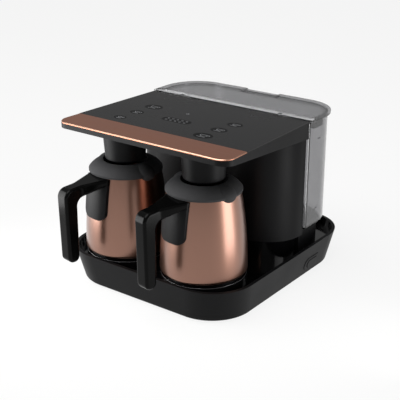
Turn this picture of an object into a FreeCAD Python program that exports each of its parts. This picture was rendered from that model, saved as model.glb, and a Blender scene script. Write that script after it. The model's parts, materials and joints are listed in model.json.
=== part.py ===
import FreeCAD, Part
import math
import os

# Electric coffee maker for two small pots. Millimetres, +Z up, the front towards -Y.
# Heights are from the table. Depths are first set back from the hood's front edge, and
# the whole machine is then moved so that its origin lies under the centre of its footprint.

# Driving dimensions: base
foot_height = 2.0
foot_radius = 9.0
foot_side = 78.0
foot_front = 32.0
foot_rear = 218.0
foot_edge = 0.6
tray_height = 37.1
tray_width = 232.0
tray_length = 261.0
tray_front_reach = 5.6
tray_corner = 49.0
tray_draft = 7.1
tray_wall = 2.6
rim_width = 4.0
deck_drop = 10.0
deck_thickness = 2.5
recess_draft = 2.0
base_plate_thickness = 2.2
screw_radius = 1.5
screw_head_radius = 3.0
screw_head_height = 1.6
screw_length = 12.0
screw_side_inset = 22.0
screw_front_inset = 20.0
screw_rear_inset = 22.0
screw_pair_half = 26.0
boss_radius = 4.2
vent_length = 60.0
vent_width = 2.8
vent_pitch = 7.0
vent_rows = 7
seat_gap = 0.3

# Driving dimensions: pots and what they stand on
pot_spacing = 107.0
pot_setback = 44.5
pot_rim_clearance = 2.4
pot_height = 90.0
pot_base_radius = 43.0
pot_belly_radius = 47.0
pot_belly_height = 4.0
pot_middle_radius = 44.8
pot_middle_height = 47.0
pot_mouth_radius = 39.2
pot_wall = 1.0
handle_turn = 10.0
collar_height = 11.6
collar_band = 2.2
collar_radius = 40.6
collar_hole_radius = 24.8
collar_wall = 1.8
collar_bulge = 1.9
lip_offset = 25.0
lip_reach = 17.6
lip_half_width = 14.5
lip_half_height = 10.4
plug_depth = 6.0
grip_offset = 79.5
grip_thickness = 16.0
grip_width = 16.0
grip_length = 83.0
grip_edge = 3.0
grip_lean = 1.5
grip_end_radius = 6.5
arm_height = 13.0
arm_root_height = 7.5
arm_corner = 10.0
arm_bend = 9.5
arm_drop = 4.0
arm_flare = 66.0
arm_flare_radius = 22.0
pad_half_width = 17.5
pad_height = 46.0
pad_corner = 9.0
pad_thickness = 3.0
pad_gap = 0.2
stud_radius = 1.5
stud_length = 2.4
stud_gap = 0.1
upper_stud_drop = 14.0
lower_stud_drop = 36.0
heater_radius = 42.5
heater_thickness = 3.2
heater_hub_radius = 35.6
heater_hub_depth = 7.0
seal_thickness = 1.6
ring_wall = 4.4
ring_draft = 1.6
ring_drop = 2.2
element_radius = 25.0
element_tube_radius = 3.2
element_leg = 9.0
thermostat_radius = 8.0
thermostat_height = 9.0
tab_length = 5.0
tab_offset = 4.5

# Driving dimensions: tower and hood
tower_front = 112.4
tower_back = 161.5
tower_width = 210.0
tower_corner = 45.0
tower_wall = 2.4
plinth_height = 23.0
plinth_inset = 8.0
overall_hood_height = 185.8
hood_front_width = 226.5
hood_back_width = 216.0
hood_corner = 14.0
hood_front_thickness = 6.9
hood_back_thickness = 20.0
hood_wall = 2.4
panel_thickness = 1.3
trim_chamfer = 0.7
trim_depth = 36.0
trim_gap = 0.2
head_top_radius = 24.2
head_bottom_radius = 22.2
head_gap = 1.0
head_wall = 1.8
head_edge = 1.6
head_flange_radius = 28.0
head_flange_thickness = 1.2
window_radius = 6.0
window_offset = 5.0
nozzle_radius = 3.0
nozzle_bore = 1.6
nozzle_offset = 9.0
nozzle_length = 14.0
hose_radius = 2.2
hose_bore = 1.2
hose_bend = 12.0
hose_panel_gap = 1.0

# Driving dimensions: tank and lid
tank_gap = 0.7
tank_width = 215.0
tank_length = 71.0
tank_corner = 42.0
tank_front_corner = 4.0
tank_wall = 2.2
tank_floor_height = 58.0
tank_top_gap = 1.7
lid_rise = 0.8
lid_thickness = 2.4
lid_overhang = 3.4
lid_recess = 1.2
lid_rim_width = 5.0
lid_lip = 3.0
lid_lip_wall = 1.6
lid_clearance = 0.3
lid_front_gap = 1.1
hinge_pin_radius = 0.8
hinge_knuckle_radius = 1.8
hinge_side = 68.0
hinge_ear = 4.0
ear_depth = 12.0
ear_rise = 1.6
ear_thickness = 4.8
hinge_knuckle = 6.0
hinge_setback = 2.0
finger_notch_width = 46.0
finger_notch_depth = 9.0
spigot_radius = 8.0
spigot_bore = 5.0
spigot_length = 6.5
spigot_setback = 38.0
socket_wall = 2.4
socket_floor = 2.0
socket_depth = 4.0
seat_inset = 7.0
post_radius = 1.4
plunger_radius = 7.0
plunger_thickness = 2.0
stem_radius = 1.2
valve_lift = 2.0
valve_spring_room = 14.0
valve_stem_rise = 16.0
cage_cap = 1.6
spring_wire = 0.45
spring_radius = 3.6
spring_turns = 5
cage_wall = 2.6
cage_post_radius = 1.1

# Driving dimensions: works inside
pump_radius = 15.0
pump_height = 44.0
pump_mount_height = 4.0
pump_mount_radius = 9.0
pipe_radius = 3.2
board_thickness = 1.6
power_board_width = 64.0
power_board_height = 84.0
board_rows = 7
board_margin = 6.0
transformer_size = 24.0
transformer_depth = 18.0
relay_width = 16.0
relay_depth = 14.0
capacitor_radius = 5.0
capacitor_height = 16.0
connector_depth = 8.0
touch_board_width = 150.0
touch_board_length = 66.0
display_side = -8.0
display_width = 36.0
display_length = 16.0
display_setback = 24.0
display_depth = 2.0
sensor_size = 12.0
sensor_height = 7.0

# Driving dimensions: power button and cord gland
button_setback = 175.0
button_height = 15.0
button_length = 22.0
button_width = 10.4
button_proud = 1.0
button_travel = 2.0
button_clearance = 0.3
bezel_length = 33.0
bezel_width = 16.0
bezel_depth = 5.0
bezel_proud = 0.5
stem_length = 5.0
switch_depth = 12.0
switch_width = 14.0
gland_radius = 6.0
gland_bore = 3.4
gland_inset = 17.0
gland_height = 17.0
gland_length = 12.0
gland_flange = 2.5
gland_flange_thickness = 1.6
gland_nut_thickness = 4.0

vec = FreeCAD.Vector
up = vec(0, 0, 1)


def cylinder(x, y, low, high, radius):
    return Part.makeCylinder(radius, high - low, vec(x, y, low), up)


def tube(x, y, low, high, outer, inner):
    return cylinder(x, y, low, high, outer).cut(cylinder(x, y, low - 1, high + 1, inner))


def box(x0, x1, y0, y1, z0, z1):
    return Part.makeBox(x1 - x0, y1 - y0, z1 - z0, vec(x0, y0, z0))


def fuse(shapes):
    whole = shapes[0].multiFuse(shapes[1:])
    return whole.removeSplitter()


def rounded_wire(corners, radii):
    """Closed wire through the corners, each rounded by its own radius."""
    count = len(corners)
    starts = []
    middles = []
    ends = []
    for index in range(count):
        corner = corners[index]
        back = (corners[index - 1] - corner).normalize()
        ahead = (corners[(index + 1) % count] - corner).normalize()
        half = back.getAngle(ahead) / 2
        radius = radii[index]
        reach = radius / math.tan(half)
        bisector = (back + ahead).normalize()
        starts.append(corner + back * reach)
        ends.append(corner + ahead * reach)
        middles.append(corner + bisector * (radius / math.sin(half) - radius))
    edges = []
    for index in range(count):
        if radii[index] > 0:
            edges.append(Part.Arc(starts[index], middles[index], ends[index]).toShape())
        following = starts[(index + 1) % count]
        if ends[index].distanceToPoint(following) > 1e-6:
            edges.append(Part.LineSegment(ends[index], following).toShape())
    return Part.Wire(edges)


def outline(front_half, back_half, front, back, front_corner, back_corner, height):
    """Rounded outline, level at one height, that may be wider at the front than at the back."""
    corners = [
        vec(-front_half, front, height),
        vec(front_half, front, height),
        vec(back_half, back, height),
        vec(-back_half, back, height),
    ]
    return rounded_wire(corners, [front_corner, front_corner, back_corner, back_corner])


def raised(wire, height):
    return Part.Face(wire).extrude(vec(0, 0, height))


def lofted(low_wire, high_wire):
    return Part.makeLoft([low_wire, high_wire], True, True)


def revolved(edges, x, y):
    face = Part.Face(Part.Wire(edges))
    solid = face.revolve(vec(0, 0, 0), up, 360)
    solid.translate(vec(x, y, 0))
    return solid


def line(a, b):
    return Part.LineSegment(vec(a[0], 0, a[1]), vec(b[0], 0, b[1])).toShape()


def arc(a, b, c):
    return Part.Arc(vec(a[0], 0, a[1]), vec(b[0], 0, b[1]), vec(c[0], 0, c[1])).toShape()


def stadium(length, width, start, end):
    """Bar with round ends, long along Y, that runs along X from start to end."""
    radius = width / 2
    straight = length / 2 - radius
    core = box(start, end, -straight, straight, -radius, radius)
    ends = [
        Part.makeCylinder(radius, end - start, vec(start, side * straight, 0), vec(1, 0, 0))
        for side in (-1, 1)
    ]
    return fuse([core] + ends)


# Heights that follow from the driving dimensions
tray_low = foot_height
rim_height = foot_height + tray_height
deck_height = rim_height - deck_drop
deck_under = deck_height - deck_thickness
pot_floor = rim_height + pot_rim_clearance
heater_top = pot_floor - seat_gap
pot_rim = pot_floor + pot_height
collar_low = pot_rim + seat_gap
collar_top = collar_low + collar_height
head_low = collar_top + head_gap
tower_low = deck_height + plinth_height
panel_low = overall_hood_height - panel_thickness
lid_top = overall_hood_height + lid_rise
lid_low = lid_top - lid_thickness
tank_low = tank_floor_height
tank_top = lid_low - seat_gap
tray_front = -tray_front_reach
tray_rear = tray_front + tray_length
tank_front = tower_back + tank_gap
tank_back = tank_front + tank_length
sides = {"left": -pot_spacing / 2, "right": pot_spacing / 2}
hood_slope = (hood_back_thickness - hood_front_thickness) / tower_back
parts = {}


def hood_under(setback):
    """Height of the hood's underside at a distance behind its front edge."""
    return overall_hood_height - hood_front_thickness - hood_slope * setback


def under_hood(lift):
    """Everything below a plane that lies the given lift above the hood's underside."""
    far = 2 * tower_back
    wide = hood_front_width
    profile = Part.makePolygon(
        [
            vec(-wide, -far, -far),
            vec(-wide, -far, hood_under(-far) + lift),
            vec(-wide, far, hood_under(far) + lift),
            vec(-wide, far, -far),
            vec(-wide, -far, -far),
        ]
    )
    return Part.Face(profile).extrude(vec(2 * wide, 0, 0))


def tray_outline(inset, height):
    """Outline of the tray's outer wall at a height, moved in by an inset."""
    share = (rim_height - height) / tray_height
    lean = tray_draft * share + inset
    half = tray_width / 2 - lean
    corner = tray_corner - inset
    return outline(half, half, tray_front + lean, tray_rear - lean, corner, corner, height)


def tower_outline(inset, height, back):
    """Outline of the tower, with its front corners rounded, moved in by an inset."""
    half = tower_width / 2 - inset
    return outline(half, half, tower_front + inset, back, tower_corner - inset, 0, height)


def hood_outline(inset, height, front, back, front_corner):
    lean = (hood_front_width - hood_back_width) / 2 / tower_back
    front_half = hood_front_width / 2 - lean * front - inset
    back_half = hood_front_width / 2 - lean * back - inset
    return outline(front_half, back_half, front, back, front_corner, 0, height)


def tank_outline(inset, height):
    half = tank_width / 2 - inset
    back_corner = tank_corner - inset
    front_corner = max(tank_front_corner - inset, 0.5)
    front = tank_front + inset
    back = tank_back - inset
    return outline(half, half, front, back, front_corner, back_corner, height)


def screw_places():
    middle = tray_front + tray_length / 2
    side = tray_width / 2 - screw_side_inset
    pair = (-screw_pair_half, screw_pair_half)
    places = [(x, middle) for x in (-side, side)]
    places += [(x, tray_front + screw_front_inset) for x in pair]
    places += [(x, tray_rear - screw_rear_inset) for x in pair]
    return places


def heater_ring(x):
    """Raised round seat that is moulded on the deck for one heater plate."""
    bore = heater_radius + seat_gap
    top = heater_top - ring_drop
    shelf_top = heater_top - heater_thickness - seal_thickness
    foot = bore + ring_wall
    head = foot - ring_draft
    wall = Part.makeCone(foot, head, top - deck_under, vec(x, pot_setback, deck_under), up)
    wall = wall.cut(cylinder(x, pot_setback, shelf_top, top + 1, bore))
    hole = cylinder(x, pot_setback, deck_under - 1, top, heater_hub_radius + seat_gap)
    return wall.cut(hole)


def make_tray():
    shell = lofted(tray_outline(0, tray_low), tray_outline(0, rim_height))
    bottom_edges = [e for e in shell.Edges if e.BoundBox.ZMax < tray_low + 0.01]
    shell = shell.makeFillet(3.0, bottom_edges)
    top_half = tray_width / 2 - rim_width
    recess_top = tray_outline(rim_width, rim_height)
    floor_half = top_half - recess_draft
    recess_floor = outline(
        floor_half,
        floor_half,
        tray_front + rim_width + recess_draft,
        tray_rear - rim_width - recess_draft,
        tray_corner - rim_width - recess_draft,
        tray_corner - rim_width - recess_draft,
        deck_height,
    )
    shell = shell.cut(lofted(recess_floor, recess_top))
    cavity = lofted(tray_outline(tray_wall, tray_low), tray_outline(tray_wall, deck_under))
    keep = []
    for x, y in screw_places():
        keep.append(cylinder(x, y, base_top, deck_under, boss_radius))
    shell = shell.cut(cavity)
    for x in sides.values():
        hole = cylinder(x, pot_setback, deck_under - 1, deck_height + 1, heater_radius)
        shell = shell.cut(hole)
    shell = fuse([shell] + [heater_ring(x) for x in sides.values()] + keep)
    for x, y in screw_places():
        shell = shell.cut(cylinder(x, y, base_top - 1, base_top + screw_length, screw_radius))
    feed = cylinder(0, socket_y, deck_under - 1, deck_height + 1, pipe_radius + 3)
    shell = shell.cut(feed)
    shell = shell.cut(placed_on_wall(stadium(bezel_length - 4, bezel_width - 4, -20, 20)))
    gland_hole = placed_on_rear(cylinder(0, 0, -20, 20, gland_radius))
    return shell.cut(gland_hole)


def placed_on_wall(shape):
    """Moves a shape made along +X to the power button's place on the leaning right wall."""
    lean = math.degrees(math.atan(tray_draft / tray_height))
    turned = shape.copy()
    turned.rotate(vec(0, 0, 0), vec(0, 1, 0), lean)
    turned.translate(vec(wall_x(button_height), button_setback, button_height))
    return turned


def placed_on_rear(shape):
    """Moves a shape made along +Z to the cord gland's place on the leaning rear wall."""
    lean = math.degrees(math.atan(tray_draft / tray_height))
    turned = shape.copy()
    turned.rotate(vec(0, 0, 0), vec(1, 0, 0), -90 - lean)
    depth = tray_rear - tray_draft * (rim_height - gland_height) / tray_height
    side = tray_width / 2 - tray_corner - gland_inset
    turned.translate(vec(-side, depth, gland_height))
    return turned


def wall_x(height):
    return tray_width / 2 - tray_draft * (rim_height - height) / tray_height


def make_base():
    inner = tray_wall + seat_gap
    plate = lofted(tray_outline(inner, tray_low + 0.2), tray_outline(inner, base_top))
    for x, y in screw_places():
        plate = plate.cut(cylinder(x, y, 0, base_top + 1, screw_radius + 0.3))
        plate = plate.cut(cylinder(x, y, 0, tray_low + 0.4, screw_head_radius + 0.4))
    slots = []
    for row in range(vent_rows):
        y = pump_y + (row - (vent_rows - 1) / 2) * vent_pitch
        half = vent_length / 2
        slots.append(box(-half, half, y - vent_width / 2, y + vent_width / 2, 0, base_top + 1))
    plate = plate.cut(Part.makeCompound(slots))
    parts["base_plate"] = plate
    feet = []
    for x in (-foot_side, foot_side):
        for y in (foot_front, foot_rear):
            pad = cylinder(x, y, 0, tray_low + 0.2, foot_radius)
            low_edge = [e for e in pad.Edges if e.BoundBox.ZMax < 0.01]
            feet.append(pad.makeFillet(foot_edge, low_edge))
    parts["rubber_feet"] = Part.makeCompound(feet)
    screws = []
    head_low_z = tray_low + 0.4 - screw_head_height
    for x, y in screw_places():
        head = cylinder(x, y, head_low_z, tray_low + 0.4, screw_head_radius)
        shank = cylinder(x, y, tray_low + 0.4, base_top + screw_length - 1, screw_radius)
        screws.append(fuse([head, shank]))
    parts["base_screws"] = Part.makeCompound(screws)


def make_heater(side, x):
    hub_low = heater_top - heater_thickness - heater_hub_depth
    disc = cylinder(x, pot_setback, heater_top - heater_thickness, heater_top, heater_radius)
    top_edge = [e for e in disc.Edges if e.BoundBox.ZMin > heater_top - 0.01]
    disc = disc.makeChamfer(0.8, top_edge)
    hub = cylinder(x, pot_setback, hub_low, heater_top - 1, heater_hub_radius)
    parts["heater_plate_" + side] = fuse([disc, hub])
    shelf_top = heater_top - heater_thickness - seal_thickness
    parts["heater_seal_" + side] = tube(
        x, pot_setback, shelf_top, heater_top - heater_thickness, heater_radius, heater_hub_radius + seat_gap
    )
    centre = hub_low - element_tube_radius - 0.2
    ring_path = Part.makeCircle(element_radius, vec(x, pot_setback, centre), up, 110, 430)
    start = ring_path.valueAt(ring_path.FirstParameter)
    tangent = ring_path.tangentAt(ring_path.FirstParameter)
    section = Part.Wire(Part.makeCircle(element_tube_radius, start, tangent))
    ring = Part.Wire(ring_path).makePipe(Part.Face(section))
    legs = []
    for parameter in (ring_path.FirstParameter, ring_path.LastParameter):
        end = ring_path.valueAt(parameter)
        legs.append(cylinder(end.x, end.y, centre - element_leg, centre, element_tube_radius * 0.6))
        legs.append(Part.makeSphere(element_tube_radius, end))
    parts["heating_element_" + side] = fuse([ring] + legs)
    body = cylinder(x, pot_setback, hub_low - thermostat_height, hub_low, thermostat_radius)
    flange = cylinder(x, pot_setback, hub_low - 2, hub_low, thermostat_radius + 2)
    tab_low = hub_low - thermostat_height - tab_length
    tabs = [
        box(tab_x - 3, tab_x + 3, pot_setback - 0.4, pot_setback + 0.4, tab_low, hub_low - 3)
        for tab_x in (x - tab_offset, x + tab_offset)
    ]
    parts["thermostat_" + side] = fuse([body, flange] + tabs)


def make_tower():
    hood_plane = under_hood(0)
    outer = raised(tower_outline(0, tower_low, tower_back), overall_hood_height - tower_low)
    inner = raised(
        tower_outline(tower_wall, tower_low + tower_wall, tower_back + 1), overall_hood_height
    )
    shell = outer.cut(inner).common(hood_plane)
    for x in sides.values():
        shell = shell.cut(cylinder(x, pump_y, tower_low - 1, tower_low + 5, pump_mount_radius - 2))
    parts["tower_shell"] = shell
    plinth_outer = raised(tower_outline(plinth_inset, deck_height, tower_back), plinth_height)
    plinth_inner = raised(
        tower_outline(plinth_inset + tower_wall, deck_height - 1, tower_back + 1), plinth_height + 2
    )
    parts["plinth"] = plinth_outer.cut(plinth_inner)
    half = tower_width / 2 - tower_wall - seat_gap
    panel = box(-half, half, tower_back - tower_wall, tower_back, tower_low + tower_wall, overall_hood_height)
    panel = panel.common(hood_plane)
    stand = []
    for x in (-power_board_width / 2 + 6, power_board_width / 2 - 6):
        for z in (board_low + 6, board_low + power_board_height - 6):
            stand.append(
                Part.makeCylinder(3, board_stand, vec(x, board_y + board_thickness, z), vec(0, 1, 0))
            )
    parts["rear_panel"] = fuse([panel] + stand)


def make_seat():
    """Pedestal behind the tower that the water tank stands on, with its valve socket."""
    half = tank_width / 2 - seat_inset
    front = tower_back + seat_gap
    back = tank_back - seat_inset
    corner = tank_corner - seat_inset
    seat_top = tank_low - seat_gap
    outer = raised(outline(half, half, front, back, 0.5, corner, deck_height), seat_top - deck_height)
    inner = raised(
        outline(
            half - tower_wall,
            half - tower_wall,
            front + tower_wall,
            back - tower_wall,
            0.5,
            corner - tower_wall,
            deck_height - 1,
        ),
        seat_top - tower_wall - deck_height + 1,
    )
    seat = outer.cut(inner)
    seat = seat.cut(cylinder(0, socket_y, 0, seat_top + 1, socket_outer + 0.1))
    pipe_gap = pipe_radius + 1.5
    seat = seat.cut(box(-pipe_gap, pipe_gap, front - 1, front + 5, deck_height + 2, pipe_z + pipe_gap))
    parts["tank_seat"] = seat
    cup = tube(0, socket_y, cup_low, seat_top, socket_outer, seal_outer + 0.05)
    floor = cylinder(0, socket_y, cup_low, cup_low + socket_floor, socket_outer)
    ledge = tube(0, socket_y, cup_low, seal_low, socket_outer, spigot_radius + 0.4)
    stub = tube(0, socket_y, pipe_z + pipe_radius, cup_low + 0.5, pipe_radius + 1.8, pipe_radius + 0.05)
    post = cylinder(0, socket_y, cup_low + 1, post_top, post_radius)
    reach = spigot_radius + 1
    spokes = box(-reach, reach, socket_y - 0.8, socket_y + 0.8, cup_low, cup_low + socket_floor)
    cup = fuse([cup, floor, ledge, stub])
    cup = cup.cut(cylinder(0, socket_y, cup_low - 1, cup_low + socket_floor + 1, pipe_radius + 0.05))
    parts["tank_socket"] = fuse([cup, post, spokes])
    parts["socket_seal"] = tube(0, socket_y, seal_low, seal_low + 2.4, seal_outer, spigot_radius + 0.08)


def make_hood():
    wide = raised(hood_outline(0, 0, 0, tower_back, hood_corner), panel_low)
    wedge = wide.cut(under_hood(0))
    cavity = raised(
        hood_outline(hood_wall, 0, hood_wall, tower_back - hood_wall, hood_corner - hood_wall), panel_low + 1
    )
    cavity = cavity.cut(under_hood(hood_wall))
    shell = wedge.cut(cavity)
    for x in sides.values():
        shell = shell.cut(cylinder(x, pot_setback, 0, panel_low, head_top_radius + 0.1))
    duct_front = tower_front + tower_wall + 6
    duct_back = tower_back - tower_wall - 6
    duct_half = tower_width / 2 - tower_corner
    duct = box(-duct_half, duct_half, duct_front, duct_back, 0, panel_low - 1)
    shell = shell.cut(duct)
    rib_low = under_hood(hood_wall - 0.5)
    ribs = []
    for x in (-18.0, 18.0):
        rib = box(x - 1, x + 1, hood_wall - 0.5, touch_board_front - 2, 0, panel_low)
        ribs.append(rib.cut(rib_low))
    shell = fuse([shell] + ribs)
    parts["hood_shell"] = shell
    whole = raised(hood_outline(0, panel_low, 0, tower_back, hood_corner), panel_thickness)
    split = trim_depth + trim_gap / 2
    front_piece = box(-tray_width, tray_width, -10, split - trim_gap / 2, 0, 300)
    rear_piece = box(-tray_width, tray_width, split + trim_gap / 2, tower_back + 10, 0, 300)
    trim = whole.common(front_piece)
    trim_edges = [
        e
        for e in trim.Edges
        if e.BoundBox.ZMin > overall_hood_height - 0.01 and e.BoundBox.YMin < trim_depth - 1
    ]
    parts["copper_trim"] = trim.makeChamfer(trim_chamfer, trim_edges)
    parts["touch_panel"] = whole.common(rear_piece)


def make_head(side, x):
    high = panel_low - 1
    top_radius = head_top_radius
    mouth = hood_under(pot_setback) + hood_wall
    edge = head_edge
    outer = revolved(
        [
            line((0, head_low), (head_bottom_radius - edge, head_low)),
            arc(
                (head_bottom_radius - edge, head_low),
                (head_bottom_radius - 0.3 * edge, head_low + 0.3 * edge),
                (head_bottom_radius, head_low + edge),
            ),
            line((head_bottom_radius, head_low + edge), (top_radius, hood_under(pot_setback))),
            line((top_radius, hood_under(pot_setback)), (top_radius, high)),
            line((top_radius, high), (0, high)),
            line((0, high), (0, head_low)),
        ],
        x,
        pot_setback,
    )
    flange = cylinder(x, pot_setback, 100, high, head_flange_radius)
    flange = flange.cut(under_hood(hood_wall))
    solid = outer.fuse(flange).common(under_hood(hood_wall + head_flange_thickness))
    inner_low = head_low + head_wall
    inner_radius = head_bottom_radius - head_wall
    bore = Part.makeCone(
        inner_radius, top_radius - head_wall, mouth - inner_low, vec(x, pot_setback, inner_low), up
    )
    bore = bore.fuse(cylinder(x, pot_setback, mouth, high + 1, top_radius - head_wall))
    solid = solid.cut(bore)
    solid = solid.cut(cylinder(x, pot_setback - window_offset, 0, mouth, window_radius))
    solid = solid.cut(cylinder(x, pot_setback + nozzle_offset, 0, mouth, nozzle_radius))
    parts["brew_head_" + side] = solid.removeSplitter()
    window_y = pot_setback - window_offset
    pane = cylinder(x, window_y, head_low + 0.4, inner_low, window_radius - 0.03)
    flare = cylinder(x, window_y, inner_low, inner_low + 1, window_radius + 1.5)
    parts["sensor_window_" + side] = fuse([pane, flare])
    half = sensor_size / 2
    sensor_low = inner_low + 1
    block = box(x - half, x + half, window_y - half, window_y + half, sensor_low, sensor_low + sensor_height)
    board = box(
        x - half - 2,
        x + half + 2,
        window_y - half - 1,
        window_y + half - 3,
        sensor_low + sensor_height,
        sensor_low + sensor_height + board_thickness,
    )
    parts["foam_sensor_" + side] = fuse([block, board])
    nozzle_y = pot_setback + nozzle_offset
    nozzle_low = head_low
    nozzle_top = nozzle_low + nozzle_length
    nozzle = cylinder(x, nozzle_y, nozzle_low, nozzle_top, nozzle_radius - 0.02)
    nozzle = fuse([nozzle, cylinder(x, nozzle_y, inner_low, inner_low + 1.4, nozzle_radius + 1.2)])
    nozzle = nozzle.cut(cylinder(x, nozzle_y, nozzle_low - 1, nozzle_top + 1, nozzle_bore))
    parts["water_nozzle_" + side] = nozzle
    parts["water_hose_" + side] = make_hose(x, nozzle_y, nozzle_top)


def make_hose(x, start_y, start_z):
    """Hose from the nozzle up into the hood, back over the tower and down to the pump."""
    run_z = panel_low - board_thickness - hose_panel_gap - hose_radius
    bend = hose_bend
    low = pump_top + 6.0
    diagonal = bend * (1 - math.sqrt(0.5))
    reach = bend * math.sqrt(0.5)
    edges = [
        Part.LineSegment(vec(x, start_y, start_z), vec(x, start_y, run_z - bend)).toShape(),
        Part.Arc(
            vec(x, start_y, run_z - bend),
            vec(x, start_y + diagonal, run_z - bend + reach),
            vec(x, start_y + bend, run_z),
        ).toShape(),
        Part.LineSegment(vec(x, start_y + bend, run_z), vec(x, pump_y - bend, run_z)).toShape(),
        Part.Arc(
            vec(x, pump_y - bend, run_z),
            vec(x, pump_y - diagonal, run_z - bend + reach),
            vec(x, pump_y, run_z - bend),
        ).toShape(),
        Part.LineSegment(vec(x, pump_y, run_z - bend), vec(x, pump_y, low)).toShape(),
    ]
    spine = Part.Wire(edges)
    solids = []
    for radius in (hose_radius, hose_bore):
        section = Part.Wire(Part.makeCircle(radius, vec(x, start_y, start_z), up))
        solids.append(spine.makePipe(Part.Face(section)))
    return solids[0].cut(solids[1])


def make_pump(side, x):
    mount_low = tower_low + tower_wall
    low = mount_low + pump_mount_height
    pipe_hole = pipe_radius + 0.6
    parts["pump_mount_" + side] = tube(x, pump_y, mount_low, low, pump_mount_radius, pipe_hole)
    coil = cylinder(x, pump_y, low + 8, low + pump_height - 8, pump_radius)
    ends = [
        cylinder(x, pump_y, low, low + 8, pump_radius - 4),
        cylinder(x, pump_y, low + pump_height - 8, low + pump_height, pump_radius - 5),
        cylinder(x, pump_y, low + pump_height, pump_top + 6, hose_radius),
    ]
    frame_half = pump_radius + 1.0
    straps = [
        box(x - frame_half, x + frame_half, pump_y - 6, pump_y + 6, z, z + 2)
        for z in (low + 8, low + pump_height - 10)
    ]
    parts["pump_" + side] = fuse([coil] + ends + straps)


def make_manifold():
    """Rigid pipe that feeds both pumps from the tank's socket."""
    along = Part.makeCylinder(pipe_radius, socket_y - pump_y, vec(0, pump_y, pipe_z), vec(0, 1, 0))
    across = Part.makeCylinder(pipe_radius, pot_spacing, vec(-pot_spacing / 2, pump_y, pipe_z), vec(1, 0, 0))
    pieces = [along, across]
    pieces.append(cylinder(0, socket_y, pipe_z, cup_low, pipe_radius))
    for x in sides.values():
        pieces.append(cylinder(x, pump_y, pipe_z, tower_low + tower_wall + pump_mount_height, pipe_radius))
        pieces.append(Part.makeSphere(pipe_radius, vec(x, pump_y, pipe_z)))
    pieces.append(Part.makeSphere(pipe_radius, vec(0, socket_y, pipe_z)))
    legs = box(-4, 4, socket_y - 20, socket_y - 16, deck_height, pipe_z - pipe_radius + 1)
    pieces.append(legs)
    parts["feed_manifold"] = fuse(pieces)


def make_boards():
    half = power_board_width / 2
    board = box(-half, half, board_y, board_y + board_thickness, board_low, board_low + power_board_height)
    row = power_board_height / board_rows
    edge = -half + board_margin
    relay_x = board_margin
    can_y = board_y - capacitor_height
    cans = [(-capacitor_radius, 4.5), (2 * capacitor_radius, 5.0)]
    items = []
    blocks = [
        (edge, edge + transformer_size, transformer_depth, 1, 3),
        (relay_x, relay_x + relay_width, relay_depth, 1, 2),
        (relay_x, relay_x + relay_width, relay_depth, 3, 4),
        (edge, -edge, connector_depth, 6, 6.5),
    ]
    for start, end, depth, low_row, high_row in blocks:
        low = board_low + low_row * row
        items.append(box(start, end, board_y - depth, board_y, low, board_low + high_row * row))
    for can_x, can_row in cans:
        place = vec(can_x, can_y, board_low + can_row * row)
        items.append(Part.makeCylinder(capacitor_radius, capacitor_height, place, vec(0, 1, 0)))
    parts["power_board"] = fuse([board] + items)
    wide = touch_board_width / 2
    plate_low = panel_low - board_thickness
    back = touch_board_front + touch_board_length
    plate = box(-wide, wide, touch_board_front, back, plate_low, panel_low)
    display_front = touch_board_front + display_setback
    display = box(
        display_side - display_width / 2,
        display_side + display_width / 2,
        display_front,
        display_front + display_length,
        plate_low - display_depth,
        plate_low,
    )
    parts["touch_board"] = fuse([plate, display])


def make_button():
    outer = stadium(bezel_length, bezel_width, 0, bezel_proud)
    sleeve = stadium(bezel_length - 4.2, bezel_width - 4.2, -bezel_depth, bezel_proud)
    hole = stadium(button_length + 2 * button_clearance, button_width + 2 * button_clearance, -20, 20)
    bezel = placed_on_wall(fuse([outer, sleeve]).cut(hole))
    parts["button_bezel"] = bezel
    cap = stadium(button_length, button_width, -bezel_depth, button_proud)
    front_edges = [e for e in cap.Edges if e.BoundBox.XMin > button_proud - 0.01]
    cap = cap.makeFillet(0.6, front_edges)
    back = -bezel_depth - 1.5
    rim = stadium(button_length + 3, button_width + 3, back, -bezel_depth - button_clearance)
    stem = Part.makeCylinder(2.0, stem_length, vec(back - stem_length, 0, 0), vec(1, 0, 0))
    cap_core = stadium(button_length - 2, button_width - 2, back, -bezel_depth + 1)
    parts["power_button"] = placed_on_wall(fuse([cap, cap_core, rim, stem]))
    stem_end = back - stem_length
    nub_tip = stem_end - 0.2
    face = nub_tip - button_travel - 0.8
    nub = Part.makeCylinder(1.4, nub_tip - face - button_travel, vec(face, 0, 0), vec(1, 0, 0))
    block_low = base_top
    spot = wall_x(button_height) + face * math.cos(math.atan(tray_draft / tray_height))
    block = box(
        spot - switch_depth - 3,
        spot - 3,
        button_setback - switch_width / 2,
        button_setback + switch_width / 2,
        block_low,
        button_height + 7,
    )
    nose = placed_on_wall(stadium(switch_width - 2, 8, face - 6, face).fuse(nub))
    parts["power_switch"] = fuse([block, nose])


def make_gland():
    nut_top = -tray_wall - 2 * seat_gap
    wide = gland_radius + gland_flange
    bush = cylinder(0, 0, -gland_length + 2, 2, gland_radius - 0.05)
    flange = cylinder(0, 0, 0.02, gland_flange_thickness, wide)
    inner_nut = cylinder(0, 0, nut_top - gland_nut_thickness, nut_top, wide)
    gland = fuse([bush, flange, inner_nut]).cut(cylinder(0, 0, -20, 20, gland_bore))
    parts["cord_gland"] = placed_on_rear(gland)


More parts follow.
